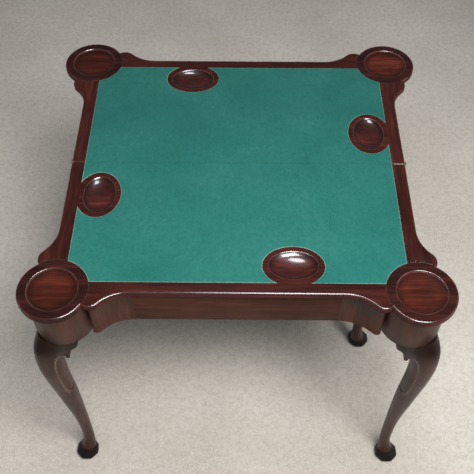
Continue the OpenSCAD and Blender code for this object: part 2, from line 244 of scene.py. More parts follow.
def inset_loop(loop, inset):
    """A counter-clockwise loop moved inward by the same distance all round."""
    moved = []
    count = len(loop)
    for i in range(count):
        here = Vector(loop[i])
        one = (here - Vector(loop[i - 1])).normalized()
        two = (Vector(loop[(i + 1) % count]) - here).normalized()
        normal = Vector((-one.y - two.y, one.x + two.x)).normalized()
        reach = inset / max(normal.dot(Vector((-one.y, one.x))), 0.35)
        moved.append(tuple(here + normal * reach))
    return moved


def prism(loop, low, high, ease, kind, caps=None, place=lambda x, y, z: (x, y, z), ease_top=None):
    """A solid on a counter-clockwise loop from low to high, with rounded edges at its ends."""
    turns = (0, 30, 60, 90)
    levels = [(inset, low + rise) for inset, rise in round_over(ease, turns)]
    levels += [(inset, high - drop)
               for inset, drop in round_over(ease if ease_top is None else ease_top, turns[::-1])]
    shape = Shape()
    shape.shell([[place(x, y, z) for x, y in inset_loop(loop, inset)] for inset, z in levels], kind, caps)
    return shape


def chamfered(loop, ease):
    """A loop with a small chamfer at each corner."""
    points = []
    for i, here in enumerate(loop):
        for other in (loop[i - 1], loop[(i + 1) % len(loop)]):
            step = Vector(other) - Vector(here)
            points.append(tuple(Vector(here) + step.normalized() * ease))
    return points


def block(low, high, ease, kind):
    """A rectangular block between two corners, with eased edges."""
    loop = [(low[0], low[1]), (high[0], low[1]), (high[0], high[1]), (low[0], high[1])]
    return prism(chamfered(loop, ease), low[2], high[2], ease, kind)


def triangulate(lines, kind_of, extra=()):
    """Triangles of the plane cut along lines [(points, closed)], for which kind_of gives a kind."""
    points, edges = [], []
    for line, closed in lines:
        first = len(points)
        points += line
        last = len(line) if closed else len(line) - 1
        edges += [(first + i, first + (i + 1) % len(line)) for i in range(last)]
    points += list(extra)
    made, _, faces, *_ = delaunay_2d_cdt([Vector(p) for p in points], edges, [], 0, 1e-4)
    made = [(v.x, v.y) for v in made]
    kept = []
    for face in faces:
        corners = [made[i] for i in face]
        centre = (sum(p[0] for p in corners) / 3, sum(p[1] for p in corners) / 3)
        kind = kind_of(centre)
        if kind:
            kept.append((tuple(face), kind))
    return made, kept


def inside(loop, p):
    """Whether p is in a polygon."""
    result = False
    for a, b in zip(loop, loop[1:] + loop[:1]):
        if (a[1] > p[1]) != (b[1] > p[1]) and p[0] < (b[0] - a[0]) * (p[1] - a[1]) / (b[1] - a[1]) + a[0]:
            result = not result
    return result


def borders(faces, chosen):
    """Edges of the chosen triangles that no other chosen triangle shares."""
    seen = {}
    for face, kind in faces:
        if kind in chosen:
            for a, b in zip(face, face[1:] + face[:1]):
                seen.setdefault(frozenset((a, b)), []).append((a, b))
    return [ways[0] for ways in seen.values() if len(ways) == 1]


def tube(path, radius, sides=8):
    """Rings of a round bead along a path, tapered to both ends."""
    rings = []
    count = len(path)
    for i, here in enumerate(path):
        along = (Vector(path[min(i + 1, count - 1)]) - Vector(path[max(i - 1, 0)])).normalized()
        side = along.cross(Vector((0, 1, 0))).normalized()
        up = side.cross(along).normalized()
        size = radius * min(1.0, 0.35 + min(i, count - 1 - i) / 3)
        rings.append([tuple(Vector(here) + side * (x * size) + up * (y * size))
                      for x, y in ellipse((0, 0), 1, 1, sides)])
    return rings


# Corners closer than this, in metres, are one
WELD = 4e-6
# Kinds of surface that are shaded flat
FLAT_KINDS = {"border_x", "border_y", "ring", "rim", "panel", "recess", "fold", "under", "cloth", "end"}


def close_seams(build):
    """Splits each open edge where another open edge ends on it, and welds the two."""
    loose = [edge for edge in build.edges if len(edge.link_faces) == 1]
    corners = [vert for vert in build.verts if any(len(edge.link_faces) == 1 for edge in vert.link_edges)]
    for edge in loose:
        start, end = (vert.co.copy() for vert in edge.verts)
        run = end - start
        for vert in corners:
            share = (vert.co - start).dot(run) / run.length_squared
            away = (start + run * share - vert.co).length
            if vert not in edge.verts and 0 < share < 1 and away < WELD * 0.75:
                bmesh.utils.edge_split(edge, edge.verts[0], share)
                break
    bmesh.ops.remove_doubles(build, verts=build.verts, dist=WELD)


def piece(name, body, shape, finish, node, sharp=38.0):
    """Makes a shape into an object in metres that rides on a body, in place of a CAD node.

    finish maps each kind of surface to a material; edges turn sharp above sharp degrees."""
    points, faces, kinds = [], [], []
    for corners, kind in shape.faces:
        first = len(points)
        points += [tuple(v * MM for v in p) for p in corners]
        faces.append(list(range(first, first + len(corners))))
        kinds.append(kind)
    mesh = bpy.data.meshes.new(name)
    mesh.from_pydata(points, [], faces)
    finishes = list(dict.fromkeys(finish[kind] for kind in sorted(set(kinds))))
    for material in finishes:
        mesh.materials.append(material)
    for polygon, kind in zip(mesh.polygons, kinds):
        polygon.material_index = finishes.index(finish[kind])
        polygon.use_smooth = kind not in FLAT_KINDS
    build = bmesh.new()
    build.from_mesh(mesh)
    bmesh.ops.remove_doubles(build, verts=build.verts, dist=WELD)
    bmesh.ops.dissolve_degenerate(build, edges=build.edges, dist=WELD / 2)
    close_seams(build)
    bmesh.ops.recalc_face_normals(build, faces=build.faces)
    build.to_mesh(mesh)
    build.free()
    mesh.set_sharp_from_angle(angle=radians(sharp))
    made = bpy.data.objects.new(name, mesh)
    bpy.context.scene.collection.objects.link(made)
    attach(made, body)
    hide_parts(node)
    return made


# ---------- materials ----------

def wire(tree, node, **values):
    """Sets a node's inputs by name, with _ for a space: an output is linked, anything else is set."""
    for key, value in values.items():
        socket = node.inputs[key.replace("_", " ")]
        if isinstance(value, bpy.types.NodeSocket):
            tree.links.new(value, socket)
        else:
            socket.default_value = value


def add(tree, kind, **values):
    """Adds a node; values are its own properties, or its inputs as wire takes them."""
    node = tree.nodes.new(kind)
    for key in [key for key in values if hasattr(node, key)]:
        setattr(node, key, values.pop(key))
    wire(tree, node, **values)
    return node


def new_material(name):
    """A node material, with its node tree and its shader."""
    material = bpy.data.materials.new(name)
    material.use_nodes = True
    return material, material.node_tree, material.node_tree.nodes["Principled BSDF"]


def coordinates(tree, scale=(1, 1, 1), shift=(0, 0, 0)):
    """Object coordinates in metres, scaled along each axis."""
    place = add(tree, "ShaderNodeTexCoord").outputs["Object"]
    return add(tree, "ShaderNodeMapping", Vector=place, Scale=scale, Location=shift).outputs["Vector"]


def noise(tree, vector, scale, detail, rough, distortion=0.0):
    """Noise around a half, with scale features to the metre."""
    return add(tree, "ShaderNodeTexNoise", Vector=vector, Scale=scale, Detail=detail, Roughness=rough,
               Distortion=distortion).outputs["Fac"]


def ramp(tree, value, stops):
    """Colour ramp over [(position, colour)]."""
    node = add(tree, "ShaderNodeValToRGB", Fac=value)
    elements = node.color_ramp.elements
    while len(elements) < len(stops):
        elements.new(0.5)
    for element, (position, colour) in zip(elements, stops):
        element.position = position
        element.color = (*colour, 1.0)
    return node.outputs["Color"]


def spread(tree, value, low, high, out_low=0.0, out_high=1.0):
    """A value moved from [low, high] to [out_low, out_high] and kept in it."""
    return add(tree, "ShaderNodeMapRange", Value=value, From_Min=low, From_Max=high, To_Min=out_low,
               To_Max=out_high).outputs["Result"]


def blend(tree, factor, under, over, share=1.0):
    """The colour under, mixed with the RGB colour over times share."""
    node = add(tree, "ShaderNodeMix", data_type="RGBA", Factor=factor)
    tree.links.new(under, node.inputs[6])
    node.inputs[7].default_value = (*(v * share for v in over), 1.0)
    return node.outputs[2]


def scaled(tree, colour, share):
    """A colour times a value."""
    return add(tree, "ShaderNodeVectorMath", operation="SCALE", Vector=colour, Scale=share).outputs[0]


def along_axis(tree, axis):
    """One of the object coordinates, in metres."""
    return add(tree, "ShaderNodeSeparateXYZ", Vector=coordinates(tree)).outputs[axis]


def bump(tree, height, strength, distance, before=None):
    """The surface's normal, tilted by a height, on top of the bump before."""
    node = add(tree, "ShaderNodeBump", Height=height, Strength=strength, Distance=distance)
    if before:
        wire(tree, node, Normal=before)
    return node.outputs["Normal"]


def from_stands(tree, jitter):
    """Distance in metres from the nearest corner disc's axis, made ragged by a noise."""
    folded = add(tree, "ShaderNodeVectorMath", operation="ABSOLUTE", Vector=coordinates(tree, (1, 1, 0)))
    away = add(tree, "ShaderNodeVectorMath", operation="DISTANCE", Vector=folded.outputs["Vector"])
    away.inputs[1].default_value = (CORNER_X * MM, CORNER_Y * MM, 0)
    ragged = add(tree, "ShaderNodeMath", operation="MULTIPLY_ADD", Value=jitter)
    ragged.inputs[1].default_value = 0.02
    tree.links.new(away.outputs["Value"], ragged.inputs[2])
    return ragged.outputs["Value"]


# How the figure is squeezed along X, Y and Z for wood whose grain runs along each axis
GRAIN = {"x": (1.0, 14.0, 14.0), "y": (14.0, 1.0, 14.0), "z": (14.0, 14.0, 1.0)}


def mahogany(name, grain, dark, mid, light, rough=0.22, coat=0.2, coat_rough=0.06, figure=0.5, seed=0.0,
             specular=0.25, pores=0.35, dirt=0.4, wave=0.025, shade=None, grime=None):
    """Polished mahogany: broad figure, streaks along the grain, open pores and a waxed coat.

    The last two arguments, each a (low, high) pair in metres, darken the colour: the first as painted shade
    over a range of heights, the second over a range of distances from the nearest corner disc's axis, turning
    darker outward."""
    material, tree, shader = new_material(name)
    stretch = GRAIN[grain]
    along = coordinates(tree, stretch, (seed, seed * 0.7, seed * 1.3))
    broad = noise(tree, along, 1.6, 3.0, 0.55, 0.6)
    streak = noise(tree, along, 9.0, 6.0, 0.62, 0.35)
    colour = ramp(tree, streak, [(0.28, dark), (0.5, mid), (0.74, light)])
    colour = scaled(tree, colour, spread(tree, broad, 0.3, 0.72, 1.0 - figure, 1.0 + figure * 0.55))
    fine = coordinates(tree, tuple(v if v > 1 else v * 1.6 for v in stretch), (seed + 3, 1, 2))
    pore = spread(tree, noise(tree, fine, 62.0, 2.0, 0.5), 0.60, 0.72)
    colour = blend(tree, spread(tree, pore, 0, 1, 0, pores), colour, dark, 0.25)
    cloudy = noise(tree, coordinates(tree, shift=(2, 5, seed)), 14.0, 3.0, 0.5)
    colour = blend(tree, spread(tree, cloudy, 0.45, 0.75, 0.0, dirt), colour, dark, 0.5)
    # Painted shade: the colour turns darker with height over the given range.
    if shade:
        colour = blend(tree, spread(tree, along_axis(tree, "Z"), *shade, 0.0, 0.88), colour, dark, 0.3)
    # Darker further from the nearest corner disc's axis, over the given range of distances.
    if grime:
        colour = blend(tree, spread(tree, from_stands(tree, cloudy), *grime, 0.0, 0.85), colour, dark, 0.6)
    waves = noise(tree, coordinates(tree, shift=(1, 2, 3)), 30.0, 2.0, 0.5)
    grained = bump(tree, streak, 0.02, 0.001)
    porous = bump(tree, spread(tree, pore, 0, 1, 1, 0), 0.06, 0.0004, grained)
    wire(tree, shader, Base_Color=colour, Roughness=spread(tree, cloudy, 0.3, 0.8, rough * 0.9, rough * 1.15),
         Coat_Weight=coat, Coat_Roughness=coat_rough, Specular_IOR_Level=specular,
         Normal=bump(tree, waves, wave, 0.0008, porous), Coat_Normal=bump(tree, waves, wave * 0.6, 0.0008))
    return material


def baize_material(name, dark, mid, light):
    """Worn wool baize: felted fibres, soft mottling and a dull nap, with painted light: lighter towards the
    front, darker towards the back.
    """
    material, tree, shader = new_material(name)
    flat = coordinates(tree)
    fibres = noise(tree, flat, 420.0, 3.0, 0.7)
    tufts = noise(tree, flat, 130.0, 2.0, 0.6)
    colour = ramp(tree, noise(tree, flat, 5.0, 4.0, 0.6, 0.4), [(0.25, dark), (0.5, mid), (0.8, light)])
    colour = blend(tree, spread(tree, tufts, 0.38, 0.68, 0.0, 0.55), colour, dark)
    colour = blend(tree, spread(tree, fibres, 0.42, 0.74, 0.0, 0.6), colour, light)
    # Painted light: the baize is made lighter towards the front and darker towards the back.
    colour = scaled(tree, colour, spread(tree, along_axis(tree, "Y"), -0.33, 0.33, 1.06, 0.80))
    felt = bump(tree, fibres, 0.5, 0.0006)
    wire(tree, shader, Base_Color=colour, Roughness=0.95, Specular_IOR_Level=0.08, Sheen_Weight=0.08,
         Sheen_Roughness=0.6, Sheen_Tint=(0.5, 0.85, 0.78, 1.0), Normal=bump(tree, tufts, 0.3, 0.0008, felt))
    return material


def metal(name, bright, dull, rough, seed=0.0):
    """Aged metal: bright, with dull blotches and fine scratches."""
    material, tree, shader = new_material(name)
    blotch = noise(tree, coordinates(tree, shift=(seed, 0, 0)), 220.0, 4.0, 0.6)
    scratch = noise(tree, coordinates(tree, (6, 1, 1)), 900.0, 2.0, 0.5)
    wire(tree, shader, Metallic=1.0, Base_Color=ramp(tree, blotch, [(0.35, dull), (0.62, bright)]),
         Roughness=spread(tree, blotch, 0.3, 0.7, rough * 1.5, rough),
         Normal=bump(tree, scratch, 0.15, 0.0001))
    return material


def raw_wood(name, dark, mid, light):
    """Unpolished, dusty wood of the hidden rails and blocks, with saw marks across its grain along X."""
    material, tree, shader = new_material(name)
    streak = noise(tree, coordinates(tree, GRAIN["x"]), 7.0, 5.0, 0.6, 0.3)
    dust = noise(tree, coordinates(tree), 25.0, 4.0, 0.6)
    colour = ramp(tree, streak, [(0.3, dark), (0.52, mid), (0.75, light)])
    saw = noise(tree, coordinates(tree, tuple(3.0 / v for v in GRAIN["x"])), 160.0, 2.0, 0.5)
    wire(tree, shader, Base_Color=blend(tree, spread(tree, dust, 0.4, 0.8, 0.0, 0.5), colour, dark),
         Roughness=0.7, Normal=bump(tree, saw, 0.2, 0.0006, bump(tree, streak, 0.2, 0.0006)))
    return material


def carpet(name, dark, mid, light):
    """Plain pale floor with a fine short pile."""
    material, tree, shader = new_material(name)
    flat = coordinates(tree)
    speck = noise(tree, flat, 190.0, 2.0, 0.6)
    tufts = noise(tree, flat, 62.0, 3.0, 0.7)
    colour = ramp(tree, noise(tree, flat, 2.2, 4.0, 0.6), [(0.3, dark), (0.5, mid), (0.72, light)])
    colour = blend(tree, spread(tree, tufts, 0.42, 0.72, 0.0, 0.5), colour, dark, 0.7)
    colour = blend(tree, spread(tree, speck, 0.50, 0.70, 0.0, 0.55), colour, light, 1.2)
    wire(tree, shader, Base_Color=colour, Roughness=1.0, Specular_IOR_Level=0.1,
         Normal=bump(tree, speck, 0.5, 0.002))
    return material


wood_x = mahogany("top_mahogany_long", "x", (0.014, 0.004, 0.0035), (0.032, 0.0075, 0.006),
                  (0.062, 0.014, 0.010))
wood_y = mahogany("top_mahogany_cross", "y", (0.014, 0.004, 0.0035), (0.034, 0.008, 0.0065),
                  (0.066, 0.014, 0.010), seed=2.0)
wood_ring = mahogany("top_mahogany_ring", "x", (0.010, 0.0035, 0.003), (0.022, 0.006, 0.005),
                     (0.050, 0.012, 0.009), seed=4.0)
# The stand's panel turns darker towards its edge, from 42 to 59 mm off the disc's axis.
wood_panel = mahogany("stand_mahogany", "x", (0.018, 0.005, 0.0035), (0.052, 0.0105, 0.0065),
                      (0.112, 0.022, 0.011), seed=6.0, dirt=0.5, grime=(0.042, 0.059))
wood_rim = mahogany("well_rim_mahogany", "x", (0.016, 0.004, 0.0035), (0.036, 0.008, 0.0065),
                    (0.075, 0.015, 0.011), seed=8.0)
# Painted shade: the bowls turn darker towards their rims, from 7 mm to 0.5 mm below the top.
wood_bowl = mahogany("well_bowl_mahogany", "x", (0.012, 0.003, 0.003), (0.040, 0.007, 0.0055),
                     (0.085, 0.014, 0.010), rough=0.32, coat=1.0, coat_rough=0.13, seed=10.0, wave=0.03,
                     shade=((TOP_Z - 7) * MM, (TOP_Z - 0.5) * MM))
wood_arris = mahogany("arris_mahogany", "x", (0.012, 0.004, 0.003), (0.040, 0.009, 0.007),
                      (0.09, 0.018, 0.013), rough=0.25, coat=0.9, coat_rough=0.09, seed=12.0, specular=0.4,
                      pores=0.05, wave=0.004)
wood_edge = mahogany("edge_mahogany", "x", (0.020, 0.005, 0.004), (0.050, 0.009, 0.007),
                     (0.10, 0.016, 0.011), rough=0.5, coat=0.05, coat_rough=0.2, seed=13.0, specular=0.15,
                     pores=0.1)
# Lighter, redder wood of the lips and the fold's eased edge: partly real wear, partly a painted sheen.
wood_worn_sheen = mahogany("worn_arris_mahogany", "x", (0.034, 0.016, 0.014), (0.066, 0.033, 0.028),
                     (0.11, 0.058, 0.049), rough=0.25, coat=1.0, coat_rough=0.07, seed=14.0, dirt=0.2,
                     specular=0.6, pores=0.05, wave=0.01)
# Lighter wood of the scribed lines round the discs: a painted highlight along the groove.
wood_line_highlight = mahogany("scribed_line_mahogany", "x", (0.016, 0.007, 0.006), (0.040, 0.018, 0.015),
                     (0.08, 0.040, 0.034), rough=0.25, coat=0.8, seed=15.0, specular=0.5, pores=0.05)
wood_frieze, wood_flank = (
    mahogany(name, grain, (0.039, 0.0125, 0.007), (0.071, 0.0225, 0.0125), (0.108, 0.035, 0.018), rough=0.5,
             coat=0.02, coat_rough=0.25, seed=seed, specular=0.1, figure=0.4)
    for name, grain, seed in (("frieze_mahogany", "x", 16.0), ("side_frieze_mahogany", "y", 17.0)))
wood_drum = mahogany("turret_mahogany", "z", (0.039, 0.0125, 0.007), (0.056, 0.0195, 0.012),
                     (0.084, 0.029, 0.017), rough=0.42, coat=0.10, coat_rough=0.25, seed=17.5,
                     specular=0.12, figure=0.25)
# Painted shade: the legs turn darker towards the top of the knee, from 530 to 575 mm up, under the turret.
wood_leg = mahogany("leg_mahogany", "z", (0.020, 0.006, 0.004), (0.044, 0.0135, 0.0085),
                    (0.070, 0.022, 0.013), rough=0.38, coat_rough=0.12, seed=18.0, figure=0.35,
                    specular=0.12, pores=0.15, shade=(0.530, 0.575))
wood_bead = mahogany("bead_mahogany", "z", (0.04, 0.022, 0.016), (0.075, 0.040, 0.031),
                     (0.11, 0.058, 0.046), rough=0.35, coat=0.5, coat_rough=0.12, seed=19.0, figure=0.15,
                     pores=0.1, dirt=0.15)
wood_foot = mahogany("foot_mahogany", "z", (0.003, 0.002, 0.0015), (0.008, 0.0045, 0.0035),
                     (0.014, 0.008, 0.006), rough=0.5, coat=0.08, coat_rough=0.25, seed=20.0, figure=0.3,
                     specular=0.15)
wood_recess = raw_wood("recess_wood", (0.010, 0.005, 0.004), (0.018, 0.008, 0.006), (0.03, 0.012, 0.009))
beech = raw_wood("beech", (0.14, 0.075, 0.036), (0.27, 0.16, 0.08), (0.38, 0.24, 0.13))
cloth_green = baize_material("baize_green", (0.005, 0.069, 0.059), (0.010, 0.094, 0.081),
                             (0.022, 0.121, 0.104))
cloth_edge = baize_material("baize_worn_edge", (0.03, 0.11, 0.09), (0.09, 0.17, 0.14), (0.20, 0.27, 0.22))
brass = metal("aged_brass", (0.24, 0.18, 0.12), (0.025, 0.019, 0.014), 0.32)
iron = metal("old_iron", (0.30, 0.29, 0.28), (0.07, 0.06, 0.06), 0.45, seed=3.0)
floor_pile = carpet("pale_carpet", (0.395, 0.366, 0.326), (0.457, 0.428, 0.388), (0.52, 0.49, 0.45))


# ---------- outline of the leaves ----------

def cusp(inset):
    """Where the lobe meets the disc, in (s, n): s runs from the turret towards the middle, n outward."""
    disc, lobe = DISC_R - inset, LOBE_R - inset
    away = hypot(LOBE_S, LOBE_N)
    along = (disc ** 2 - lobe ** 2 + away ** 2) / (2 * away)
    across = sqrt(disc ** 2 - along ** 2)
    unit = (LOBE_S / away, LOBE_N / away)
    return (along * unit[0] - across * unit[1], along * unit[1] + across * unit[0])


def half_corner(inset):
    """Outline in (s, n) from the straight edge through hollow and lobe to the disc's outermost point."""
    meet = cusp(inset)
    hollow = arc((HOLLOW_S, HOLLOW_N), HOLLOW_R + inset, -pi / 2, TOUCH - pi, 16)
    lobe = arc((LOBE_S, LOBE_N), LOBE_R - inset, TOUCH, atan2(meet[1] - LOBE_N, meet[0] - LOBE_S), 16)
    disc = arc((0, 0), DISC_R - inset, atan2(meet[1], meet[0]), radians(135), 38)
    return hollow + lobe[1:] + disc[1:]


def side_a(p):
    """(s, n) to the right edge of the back right corner."""
    return (CORNER_X + p[1], CORNER_Y - p[0])


def side_b(p):
    """(s, n) to the back edge of the back right corner."""
    return (CORNER_X - p[0], CORNER_Y + p[1])


def outline(inset, seat):
    """Outline of the back leaf from the fold's right end round the back to its left end.

    seat says what is cut at the fold's ends: "" nothing, "ear" the knuckle's room, "plate" all of it."""
    edge = EDGE_X - inset
    near = EDGE_X - SEAT_IN if seat else edge
    far = EDGE_X - SEAT_IN if seat == "plate" else edge
    half = half_corner(inset)
    right = [(near, HALF_GAP), (near, FOLD_EASE_Y), (near, EAR_SEAT_Y), (far, EAR_SEAT_Y), (far, PLATE_END),
             (edge, PLATE_END)]
    right += [side_a(p) for p in half]
    right += [side_b(p) for p in reversed(half[:-1])]
    return right + [(-x, y) for x, y in reversed(right)]


def edge_levels():
    """Moulded edge from the top down, as (inset, z, seat): round arris, flat band, quirk and bead, fillet."""
    seat_turn = degrees(acos(1 - (TOP_Z - SEAT_HIGH) / ROUND))
    above = round_over(ROUND, (0, 5, 12, 22, 33, 44, seat_turn))
    below = round_over(ROUND, (seat_turn, 70, 80, 90))
    levels = [(inset, TOP_Z - drop, "ear") for inset, drop in above]
    levels += [(inset, TOP_Z - drop, "plate") for inset, drop in below]
    levels += [(0.0, LEAF_Z + 5.4, "plate"), (0.9, LEAF_Z + 5.1, "plate"), (0.95, LEAF_Z + 4.5, "plate")]
    bead = arc((BEAD_IN, BEAD_Z), BEAD_R, radians(110), radians(250), 4)
    levels += [(inset, z, "plate") for inset, z in bead if z > SEAT_LOW]
    levels += [(SHELF_IN, SEAT_LOW, "plate"), (SHELF_IN, SEAT_LOW, "")]
    levels += [(inset, z, "") for inset, z in bead if z < SEAT_LOW]
    return levels + [(LIP_IN, LEAF_Z + 1.9, ""), (LIP_IN, LEAF_Z, "")]


# Rims and bowls of the back leaf's counter wells, as ovals (x, y, half-axis along X, half-axis along Y)
RIMS = ((-WELL_X, BAIZE_Y - RIM_FROM_EDGE, RIM_A, RIM_B), (BAIZE_X - RIM_FROM_EDGE, WELL_Y, RIM_B, RIM_A))
BOWLS = ((-WELL_X, BAIZE_Y - BOWL_FROM_EDGE, BOWL_A, BOWL_B),
         (BAIZE_X - BOWL_FROM_EDGE, WELL_Y, BOWL_B, BOWL_A))


def oval_loop(oval, grow, share=1.0):
    """Points round an oval whose half-axes are scaled by share and longer by grow."""
    x, y, a, b = oval
    return ellipse((x, y), a * share + grow, b * share + grow)


def in_ovals(p, ovals, grow=0.0):
    """Whether a point is in one of the ovals, with their half-axes longer by grow."""
    return any(((p[0] - x) / (a + grow)) ** 2 + ((p[1] - y) / (b + grow)) ** 2 < 1 for x, y, a, b in ovals)


def to_disc(p):
    """Distance from the nearer disc's centre."""
    return hypot(abs(p[0]) - CORNER_X, p[1] - CORNER_Y)


def on_baize(p, gap=0.0):
    """Whether a point of the back leaf is in the baize's shape, shrunk by gap."""
    if abs(p[0]) > BAIZE_X - gap or p[1] > BAIZE_Y - gap or to_disc(p) < DISC_R + gap:
        return False
    return not in_ovals(p, RIMS, gap)


def disc_loops(radius, steps):
    """Closed lines round both discs' axes, as (points, closed)."""
    return [(ellipse((side * CORNER_X, CORNER_Y), radius, radius, steps), True) for side in (-1, 1)]


def baize_lines(gap, fold):
    """Lines that bound the baize, shrunk by gap, with its fold edge at y = fold."""
    x, y = BAIZE_X - gap, BAIZE_Y - gap
    lines = [([(-x, fold), (-x, y), (x, y), (x, fold)], False)] + disc_loops(DISC_R + gap, 144)
    return lines + [(oval_loop(rim, gap), True) for rim in RIMS]


def groove_lines():
    """Scribed lines round each disc where it meets the borders, as (points, closed), and their bottoms."""
    meet = cusp(ROUND)
    end = atan2(meet[1], meet[0]) - radians(1.2)
    lines, bottoms = [], []
    for place, border in ((side_a, BAIZE_X - CORNER_X), (side_b, BAIZE_Y - CORNER_Y)):
        start = atan2(border, sqrt(DISC_R ** 2 - border ** 2)) + 0.03
        inner, middle, outer = ([place(p) for p in arc((0, 0), DISC_R + out, start, end, 14)]
                                for out in (-GROOVE_HALF, 0.0, GROOVE_HALF))
        lines += [([middle[0]] + line[1:-1] + [middle[-1]], False) for line in (inner, middle, outer)]
        bottoms += middle[1:-1]
    lines += [([(-x, y) for x, y in points], closed) for points, closed in lines]
    bottoms += [(-x, y) for x, y in bottoms]
    return lines, {(round(x, 3), round(y, 3)) for x, y in bottoms}


def top_kind(p, outer):
    """What a point of the back leaf's top is; None where it is cut away or dished."""
    if not inside(outer, p):
        return None
    if on_baize(p):
        return "recess"
    if to_disc(p) < STAND_R + STAND_LIP:
        return None
    if in_ovals(p, BOWLS, BOWL_LIP):
        return None
    within = abs(p[0]) < BAIZE_X and p[1] < BAIZE_Y
    if in_ovals(p, RIMS) and within:
        return "rim"
    if abs(to_disc(p) - DISC_R) < GROOVE_HALF and not within:
        return "line"
    if p[1] < FOLD_EASE_Y:
        return "worn"
    if to_disc(p) < DISC_R:
        return "ring"
    return "border_y" if abs(p[0]) > BAIZE_X else "border_x"


def top_face(shape, outer):
    """Adds the back leaf's top inside its outer line, with its recess, scribed lines, stands and wells."""
    scribed, bottoms = groove_lines()
    lines = [(outer, True)] + baize_lines(0.0, HALF_GAP) + scribed
    lines.append(([(-outer[0][0], FOLD_EASE_Y), (outer[0][0], FOLD_EASE_Y)], False))
    lines += disc_loops(STAND_R + STAND_LIP, 120) + [(oval_loop(bowl, BOWL_LIP), True) for bowl in BOWLS]
    points, faces = triangulate(lines, lambda p: top_kind(p, outer))

    def top_point(i):
        x, y = points[i]
        return (x, y, TOP_Z - (GROOVE_D if (round(x, 3), round(y, 3)) in bottoms else 0.0))

    for face, kind in faces:
        shape.face([(*points[i], TOP_Z - RECESS) if kind == "recess" else top_point(i) for i in face], kind)
    for a, b in borders(faces, {"recess"}):
        if max(points[a][1], points[b][1]) > HALF_GAP + 0.01:
            floor = [(*points[i], TOP_Z - RECESS) for i in (b, a)]
            shape.face([top_point(a), top_point(b)] + floor, "recess")
    for side in (-1, 1):
        shape.join(stand_shape((side * CORNER_X, CORNER_Y)))
    for bowl in BOWLS:
        shape.join(bowl_shape(bowl))


def fold_face(shape, rings, mortise):
    """Adds the back leaf's face at the fold, with its mortise if there is one."""
    section = [(ring[0][0], ring[0][2]) for ring in rings]
    section += [(ring[-1][0], ring[-1][2]) for ring in rings[::-1]]
    section += [(-BAIZE_X, TOP_Z), (-BAIZE_X, TOP_Z - RECESS), (BAIZE_X, TOP_Z - RECESS), (BAIZE_X, TOP_Z)]
    lines = [(section, True)]
    slot = []
    if mortise:
        half, low, high, depth = mortise
        slot = [(-half, low), (half, low), (half, high), (-half, high)]
        lines.append((slot, True))
        mouth, end = ([(x, y, z) for x, z in slot] for y in (HALF_GAP, HALF_GAP + depth))
        shape.strip(mouth, end, "recess")
        shape.face(end, "recess")
    flat, faces = triangulate(
        lines, lambda p: "fold" if inside(section, p) and not (slot and inside(slot, p)) else None)
    for face, kind in faces:
        shape.face([(flat[i][0], HALF_GAP, flat[i][1]) for i in face], kind)


def leaf_shape(mortise):
    """A whole back leaf; mortise is the (x, low, high, depth) of a slot in its fold face, or None."""
    shape = Shape()
    levels = edge_levels()
    rings = [[(x, y, z) for x, y in outline(inset, seat)] for inset, z, seat in levels]
    for k, (one, two) in enumerate(zip(rings, rings[1:])):
        kind = "arris" if levels[k][1] > TOP_Z - ROUND * 0.45 else "edge"
        shape.strip(one, two, kind, closed=False)
    top_face(shape, [(x, y) for x, y, _ in rings[0]])
    under = [(x, y) for x, y, _ in rings[-1]]
    flat, faces = triangulate([(under, True)], lambda p: "under" if inside(under, p) else None)
    for face, kind in faces:
        shape.face([(*flat[i], LEAF_Z) for i in face], kind)
    fold_face(shape, rings, mortise)
    return shape.moved(lambda p: (*p[:2], min(p[2], TOP_Z - FOLD_EASE)) if p[1] < HALF_GAP + 0.01 else p)


def stand_shape(centre):
    """Dished candle stand: rounded lip, sloping side, cove and flat panel."""
    shape = Shape()
    floor = TOP_Z - STAND_D
    profile = [(STAND_R + out, TOP_Z - drop) for out, drop in round_over(STAND_LIP, (0, 22, 45, 68))]
    profile += [(STAND_R - 0.2, TOP_Z - 1.4), (STAND_R - 0.5, floor + 0.55), (STAND_R - 0.9, floor + 0.15),
                (STAND_R - 1.6, floor)]
    rings = [lathe_ring(centre, radius, z, 120) for radius, z in profile]
    shape.rings(rings[:4], "worn")
    shape.rings(rings[3:], "edge")
    shape.face(rings[-1], "panel")
    return shape


def bowl_shape(oval):
    """Dished bowl of a counter well: rounded lip, then a wall that turns steeper towards the lip."""
    shape = Shape()
    levels = [(out, 1.0, 0.9 * drop) for out, drop in round_over(BOWL_LIP, (0, 20, 40, 58))]
    steps, edge = 16, levels[-1][2]
    for k in range(1, steps):
        share = 1 - (k / steps) ** 1.25
        levels.append((0.0, share, edge + (BOWL_D - edge) * (1 - 0.72 * share ** 2 - 0.28 * share ** 8)))
    rings = [[(x, y, TOP_Z - depth) for x, y in oval_loop(oval, out, share)] for out, share, depth in levels]
    shape.rings(rings[:3], "worn")
    shape.rings(rings[2:], "bowl")
    bottom = (*oval[:2], TOP_Z - BOWL_D)
    last = rings[-1]
    for i, here in enumerate(last):
        shape.face([here, last[(i + 1) % len(last)], bottom], "bowl")
    return shape


def turn_round(p):
    """Half a turn about the upright through the middle of the fold."""
    return (-p[0], -p[1], p[2])


# Kind worn, for lips and the fold's eased edge, is partly real wear and partly painted sheen.
LEAF_FINISH = {
    "arris": wood_arris, "edge": wood_edge, "border_x": wood_x, "border_y": wood_y, "ring": wood_ring,
    "rim": wood_rim, "panel": wood_panel, "worn": wood_worn_sheen, "line": wood_line_highlight, "bowl": wood_bowl,
    "recess": wood_recess, "fold": wood_x, "under": wood_x,
}


def make_leaves():
    """Both leaves; the folding one has a mortise with some room round the fixed one's tenon."""
    key_slot = (key_high[0] + 1, key_low[2] - 2, key_high[2] + 1, key_high[1] + 1.5)
    made = {}
    for node, body, mortise in (("folding_leaf", "flap", key_slot), ("fixed_leaf", "frame", None)):
        shape = leaf_shape(mortise)
        if body == "frame":
            shape = shape.moved(turn_round)
        made[node] = piece(f"{node}_board", body, shape, LEAF_FINISH, node)
    return made


